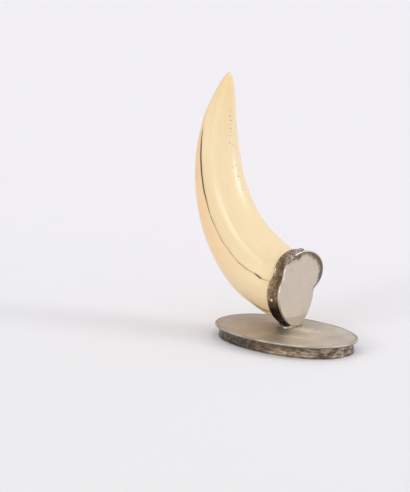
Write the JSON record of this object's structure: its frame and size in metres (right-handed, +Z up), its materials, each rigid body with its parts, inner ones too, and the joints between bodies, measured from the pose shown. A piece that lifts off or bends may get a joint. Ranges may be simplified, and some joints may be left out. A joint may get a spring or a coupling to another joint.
{
  "type": "mounted warthog tusk",
  "caption": "Curved, tapering warthog tusk held at its root in a gourd-shaped metal collar with a flat end plate, standing on a low oval metal base.",
  "frame": {"origin": "centre of the underside of the oval base, on the surface it stands on", "axes": "+Z up; X along the long axis of the oval base, +X the way the collar's end plate faces; the tusk leaves the collar towards -X and bends up to its tip"},
  "size_m": [0.1373, 0.0649, 0.1623],
  "materials": {
    "ivory": "polished cream ivory, waxy gloss",
    "pale_plate_metal": "worn silver plate, satin, greyed",
    "aged_band_metal": "aged silver plate, mottled brown-grey",
    "base_top_metal": "worn silver plate, satin, faintly green",
    "worn_skirt_metal": "silver plate worn through to brass in patches, dirty",
    "base_floor_metal": "thin plated brass sheet, dull",
    "solder": "bare soft solder, uneven shine",
    "aged_solder": "darkened lumpy solder",
    "pin_metal": "small polished pin head in a dark ring"
  },
  "bodies": {
    "root": {"tusk": "ivory", "end_plate": "pale_plate_metal", "collar_band": "aged_band_metal", "seam_solder": "aged_solder", "collar_pin": "pin_metal", "foot_solder_near": "solder", "foot_solder_far": "solder", "base_plate": "base_top_metal", "base_band": "worn_skirt_metal", "base_floor": "base_floor_metal"}
  },
  "joints": []
}
